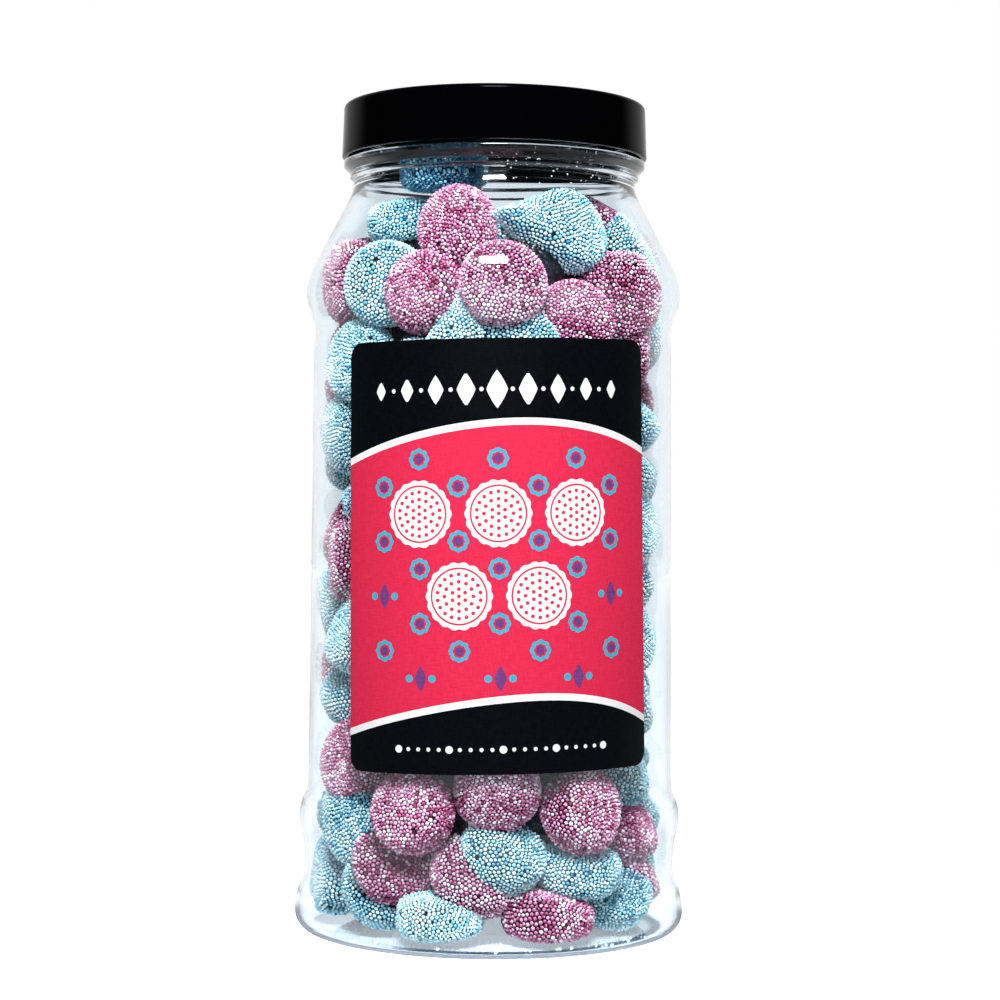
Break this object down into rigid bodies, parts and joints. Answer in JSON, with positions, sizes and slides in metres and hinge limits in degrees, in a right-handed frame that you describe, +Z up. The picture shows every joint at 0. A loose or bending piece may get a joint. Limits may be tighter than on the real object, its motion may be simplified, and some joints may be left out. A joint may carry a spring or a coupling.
{
  "type": "jar of jelly sweets",
  "caption": "Clear waisted plastic jar with a black screw lid and a wrapped front label, full of round beaded jelly sweets in pink and blue.",
  "frame": {"origin": "centre of the jar's standing ring, on the surface it stands on", "axes": "+Z up along the jar's axis, -Y towards the front of the label, +X to the right of the label as it is read"},
  "size_m": [0.0848, 0.0848, 0.1796],
  "materials": {
    "clear_plastic": "clear blow-moulded plastic, glossy",
    "black_plastic": "smooth gloss",
    "printed_label": "satin print on film, black fields above and below a crimson field",
    "beaded_jelly": "stands for jelly coated with small sugar beads, pink on some and blue on others"
  },
  "bodies": {
    "root": {"jar": "clear_plastic", "lid": "black_plastic", "label": "printed_label", "sweets": "beaded_jelly"}
  },
  "joints": []
}
